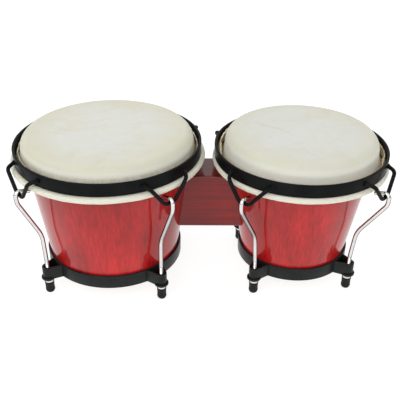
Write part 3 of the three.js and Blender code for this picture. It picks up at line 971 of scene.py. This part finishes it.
def make_washer(drum, lug, chrome):
    node = f"{drum.name}_washer_{lug.position}"
    low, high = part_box(node)
    bm = bmesh.new()
    revolve(bm, band_section(ROD_BORE / 2, WASHER_RADIUS, low.z, high.z, 0.35 * MM, 3), 48)
    washer = new_piece(f"{drum.name}_chrome_washer_{lug.position}", bm)
    over_rod(washer, drum, lug)
    settle(washer, [node], "chrome", chrome)
    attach(washer, "root")


def make_nut(drum, lug, chrome):
    node = f"{drum.name}_nut_{lug.position}"
    low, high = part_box(node)
    bore = ROD_BORE / 2
    full = NUT_ACROSS_FLATS / math.sqrt(3)
    chamfer = NUT_ACROSS_FLATS / 2 * 0.97

    def shape(radius, height, angle):
        if bore + 0.5 * MM < radius <= full:
            limit = chamfer + min((height - low.z) / NUT_CHAMFER, 1) * (full - chamfer)
            radius = min(radius, limit, hexagon_reach(NUT_ACROSS_FLATS, angle))
        return radius, height

    outside = [(full, low.z + NUT_CHAMFER * i / 3) for i in range(4)]
    flange_low = high.z - FLANGE_HEIGHT
    flange = [
        (full, flange_low),
        (FLANGE_RADIUS - 0.3 * MM, flange_low),
        (FLANGE_RADIUS, flange_low + 0.3 * MM),
        (FLANGE_RADIUS, high.z - 0.5 * MM),
        (FLANGE_RADIUS - 0.5 * MM, high.z),
    ]
    profile = [(bore + 0.3 * MM, low.z), *outside, *flange, (bore + 0.3 * MM, high.z)]
    profile += [(bore, high.z - 0.3 * MM), (bore, low.z + 0.3 * MM)]
    bm = bmesh.new()
    revolve(bm, profile, 72, shape)
    nut = new_piece(f"{drum.name}_chrome_nut_{lug.position}", bm, 25)
    over_rod(nut, drum, lug)
    settle(nut, [node], "chrome", chrome)
    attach(nut, f"{drum.name}_nut_{lug.position}_body")


def make_cap(drum, lug, rubber_material):
    node = f"{drum.name}_rubber_cap_{lug.position}"
    low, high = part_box(node)
    nut_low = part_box(f"{drum.name}_nut_{lug.position}")[0].z
    pocket = NUT_ACROSS_FLATS / 2 + GAP
    pocket_floor = nut_low - GAP
    top = high.z
    swell = CAP_RADIUS - CAP_FLAT
    tilts = [math.radians(10 * i) for i in range(10)]
    dome = [(CAP_FLAT + swell * math.sin(tilt), CAP_DOME * (1 - math.cos(tilt))) for tilt in tilts]
    outside = [
        (CAP_RADIUS - CAP_LIP, 6 * MM),
        (CAP_RADIUS - CAP_LIP, top - 2.6 * MM),
        (CAP_RADIUS, top - 2 * MM),
        (CAP_RADIUS, top - 0.5 * MM),
        (CAP_RADIUS - 0.5 * MM, top),
    ]
    inside = [
        (pocket + 0.15 * MM, top),
        (pocket, top - 0.5 * MM),
        (pocket, pocket_floor + 0.4 * MM),
        (pocket * 0.9, pocket_floor),
        (0, pocket_floor),
    ]

    def shape(radius, height, angle):
        in_pocket = radius < pocket + 0.2 * MM and height > pocket_floor - 0.01 * MM
        if in_pocket and radius > 0.6 * pocket:
            return hexagon_reach(2 * pocket, angle) * radius / pocket, height
        return radius, height

    profile = [(0, low.z), *dome, *outside, *inside]
    bm = bmesh.new()
    revolve(bm, profile, 72, shape)
    cap = new_piece(f"{drum.name}_rubber_foot_{lug.position}", bm, 40)
    over_rod(cap, drum, lug)
    settle(cap, [node], "rubber", rubber_material)
    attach(cap, f"{drum.name}_nut_{lug.position}_body")


# ---- Bottom ring with its lugs ----


def lug_line(drum, lug):
    """The lug strip's middle line in plan: straight off the band, round the nose and back."""
    inset = RING_THICKNESS / 2
    foot = Vector((drum.ring_outside - inset, LUG_FOOT - inset))
    nose = LUG_NOSE - inset
    to_axis = math.atan2(-foot.y, lug.radius - foot.x)
    spread = math.asin(nose / math.hypot(lug.radius - foot.x, foot.y))
    touch = math.degrees(to_axis + spread) + 90
    bend = [Vector(p) for p in arc((lug.radius, 0), nose, touch, -touch, 18)]
    return [foot, *bend, Vector((foot.x, -foot.y))]


def make_ring(drum, coat):
    ends = (drum.ring_bottom, drum.ring_top)
    bm = bmesh.new()
    revolve(bm, band_section(drum.ring_inside, drum.ring_outside, *ends, 0.6 * MM, 3), 192)
    for lug in drum.lugs:
        add_lug(bm, drum, lug)
    ring = new_piece(f"{drum.name}_foot_ring", bm)
    move_out(ring, drum)
    settle(ring, [f"{drum.name}_bottom_ring"], "black_steel", coat)
    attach(ring, "root")


def add_lug(bm, drum, lug):
    """A bent strip welded to the band, on a round floor plate with the rod's hole in it."""
    bottom, top = drum.ring_bottom, drum.ring_top
    turned = at_bearing(lug.bearing)
    line = lug_line(drum, lug)
    strip = rectangle(RING_THICKNESS / 2, (top - bottom - 0.2 * MM) / 2, 0.7 * MM, 3)
    sweep(bm, [turned @ Vector((p.x, p.y, (bottom + top) / 2)) for p in line], strip)
    for side in (1, -1):
        bead = Vector((drum.ring_outside, side * (LUG_FOOT - 0.6 * MM), 0))
        rise = [turned @ (bead + Vector((0, 0, z))) for z in (bottom + 1.2 * MM, top - 1.2 * MM)]
        transported(bm, resampled(rise, MM), 1.1 * MM, 10, lambda p, a: 1 + 0.35 * noise.noise(p * 700))
    floor = (ROD_BORE / 2, LUG_FLOOR_RADIUS, bottom, bottom + LUG_FLOOR)
    centre = turned @ Vector((lug.radius, 0, 0))
    rows = []
    for radius, height in band_section(*floor, LUG_FLOOR_ROUNDING, 3):
        rows.append([centre + Vector((p.x, p.y, height)) for p in circle(radius, 48)])
    skin_rows(bm, rows, loop=True)
    web = [(drum.ring_outside - MM, -LUG_FOOT + 2 * MM), (lug.radius - 5 * MM, -5.5 * MM)]
    web = [Vector(p) for p in web + [(x, -y) for x, y in reversed(web)]]
    heights = (bottom + 0.2 * MM, bottom + 2.3 * MM)
    rows = [[turned @ Vector((p.x, p.y, z)) for p in web] for z in heights]
    middles = [[turned @ Vector((lug.radius - 9 * MM, 0, row[0].z))] for row in rows]
    skin_rows(bm, [middles[0], *rows, middles[1]])


# ---- Block, plates and bolts ----


def make_block(wood):
    """The block, with its ends hollowed to fit the shells, and blind holes for the bolts."""
    low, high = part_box("centre_block")
    half_depth = (high.y - low.y) / 2
    middle = (low.z + high.z) / 2
    half_height = (high.z - low.z) / 2
    outline = rectangle(half_depth, half_height, 2.2 * MM, 5)
    outline = resampled(outline + outline[:1], 3 * MM)[:-1]

    def end_x(drum, y, z):
        """Where the block's end, hollowed to fit the drum's shell, lies at this place."""
        return drum.x - drum.side * math.sqrt((drum.shell_radius(z) + GAP) ** 2 - y**2)

    ends = []
    shares = [i / 10 for i in range(1, 11)]
    for drum, order in ((LARGE, shares), (SMALL, shares[::-1])):
        caps = [[(p.x * k, middle + p.y * k) for p in outline] for k in order]
        ends.append([[Vector((end_x(drum, y, z), y, z)) for y, z in cap] for cap in caps])
    poles = [[Vector((end_x(drum, 0, middle), 0, middle))] for drum in DRUMS]
    sides = []
    for k in range(1, 12):
        sides.append([a.lerp(b, k / 12) for a, b in zip(ends[0][-1], ends[1][0])])
    bm = bmesh.new()
    skin_rows(bm, [poles[0]] + ends[0] + sides + ends[1] + [poles[1]])
    block = new_piece("block_wood_body", bm)
    holes = []
    for drum in DRUMS:
        for z in bolt_heights(drum):
            hole = bolt_hole(drum, z, 50 * MM, drum.shell_radius(z) + BOLT_DEPTH_IN_BLOCK)
            move_out(hole, drum)
            holes.append(hole)
    cut_with(block, holes)
    settle(block, ["centre_block"], "block_wood", wood)
    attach(block, "root")


def make_plate(drum, steel):
    """A curved plate inside the shell, with rounded corners and two holes."""
    node = f"{drum.name}_bolt_plate"
    low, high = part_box(node)
    half_width = (high.y - low.y) / 2
    middle = (low.z + high.z) / 2
    half_height = (high.z - low.z) / 2
    outline = rectangle(half_width, half_height, 4 * MM, 5)
    outline = resampled(outline + outline[:1], 3 * MM)[:-1]

    def surface(point, depth):
        y, z = point.x, middle + point.y
        radius = drum.shell_radius(z) - WALL - GAP - depth
        return Vector((-drum.side * math.sqrt(radius**2 - y**2), y, z))

    def ring_of_points(share, depth):
        return [surface(point * share, depth) for point in outline]

    # The last share leaves room for a rounded rim.
    shares = [i / 8 for i in range(1, 8)] + [0.985]
    outer = [ring_of_points(share, 0) for share in shares]
    inner = [ring_of_points(share, PLATE_THICKNESS) for share in shares[::-1]]
    rim = [ring_of_points(1, depth) for depth in (0.4 * MM, PLATE_THICKNESS - 0.4 * MM)]
    poles = [[surface(Vector((0, 0)), depth)] for depth in (0, PLATE_THICKNESS)]
    bm = bmesh.new()
    skin_rows(bm, [poles[0]] + outer + rim + inner + [poles[1]])
    plate = new_piece(f"{drum.name}_steel_plate", bm, 40)
    cut_with(plate, [bolt_hole(drum, z) for z in bolt_heights(drum)])
    move_out(plate, drum)
    settle(plate, [node], "plain_steel", steel)
    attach(plate, "root")


def make_bolt(drum, place, steel):
    """A hexagon bolt along X: chamfered head, shank and wood thread."""
    node = f"{drum.name}_block_bolt_{place}"
    low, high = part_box(node)
    height = (low.z + high.z) / 2
    length = high.x - low.x
    full = BOLT_HEAD_ACROSS_FLATS / math.sqrt(3)
    start_thread = BOLT_HEAD_HEIGHT + BOLT_SHANK
    step = BOLT_THREAD_PITCH / 8

    def shape(radius, along, angle):
        if radius > BOLT / 2 + 0.5 * MM:
            limit = full * 0.86 + min(along / (0.8 * MM), 1) * full * 0.14
            return min(radius, limit, hexagon_reach(BOLT_HEAD_ACROSS_FLATS, angle)), along
        if along > start_thread:
            phase = (along / BOLT_THREAD_PITCH + angle / TURN) % 1
            return radius * (1 - 0.1 * abs(2 * phase - 1)), along
        return radius, along

    head_heights = (0, 0.3 * MM, 0.8 * MM, BOLT_HEAD_HEIGHT - 0.2 * MM, BOLT_HEAD_HEIGHT)
    head = [(full, along) for along in head_heights]
    steps = int((length - start_thread - MM) / step)
    shank = [(BOLT / 2, BOLT_HEAD_HEIGHT), (BOLT / 2, start_thread)]
    shank += [(BOLT / 2, start_thread + step * (i + 1)) for i in range(steps)]
    profile = [(0, 0), (full * 0.8, 0), *head, *shank, (BOLT / 4, length), (0, length)]
    bm = bmesh.new()
    revolve(bm, profile, 36, shape)
    bolt = new_piece(f"{drum.name}_steel_bolt_{place}", bm, 30)
    start = low.x if drum.side < 0 else high.x
    turn = Matrix.Rotation(math.pi / 2 * -drum.side, 4, "Y")
    bolt.data.transform(Matrix.Translation((start, 0, height)) @ turn)
    settle(bolt, [node], "plain_steel", steel)
    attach(bolt, "root")


# ---- Assembly ----


def build():
    shell_wood = lacquered_wood(
        "shell_wood",
        dark=(0.27, 0.006, 0.006),
        light=(0.55, 0.014, 0.014),
        deep=(0.13, 0.001, 0.001),
        grain_axis=2,
    )
    block_wood = lacquered_wood(
        "block_wood",
        dark=(0.15, 0.004, 0.004),
        light=(0.36, 0.009, 0.007),
        deep=(0.05, 0.002, 0.002),
        grain_axis=0,
        # painted shade darkening the block towards its top, under the rims
        painted_shade_heights=(0.112, 0.138),
    )
    inside_wood = raw_wood("inside_wood", (0.42, 0.26, 0.14), (0.62, 0.43, 0.26), 2)
    rim_coat = black_coat("rim_coat", 0.0045, 0.3, 0.04)
    ring_coat = black_coat("ring_coat", 0.009, 0.27, 0.14)
    chrome = plated("chrome", (0.76, 0.75, 0.74), (0.66, 0.65, 0.64), 0.05, 0.14, 0.01 * MM)
    zinc = plated("zinc_steel", (0.66, 0.67, 0.68), (0.5, 0.51, 0.52), 0.28, 0.45, 0.03 * MM)
    rubber_material = rubber()
    for drum in DRUMS:
        make_shell(drum, shell_wood, inside_wood)
        make_flesh_hoop(drum, zinc)
        make_head(drum, rawhide(drum))
        make_rim(drum, rim_coat)
        make_ring(drum, ring_coat)
        make_plate(drum, zinc)
        for place in ("lower", "upper"):
            make_bolt(drum, place, zinc)
        for lug in drum.lugs:
            make_bail(drum, lug, rim_coat)
            make_rod(drum, lug, chrome)
            make_washer(drum, lug, chrome)
            make_nut(drum, lug, chrome)
            make_cap(drum, lug, rubber_material)
    make_block(block_wood)


bpy.context.scene.view_settings.view_transform = "Standard"
make_camera()
make_world()
make_floor()
area_light("front_softbox", (-0.5, -1.6, 1.3), (0, 0, 0.1), width=2.2, height=1.4, power=23)
build()
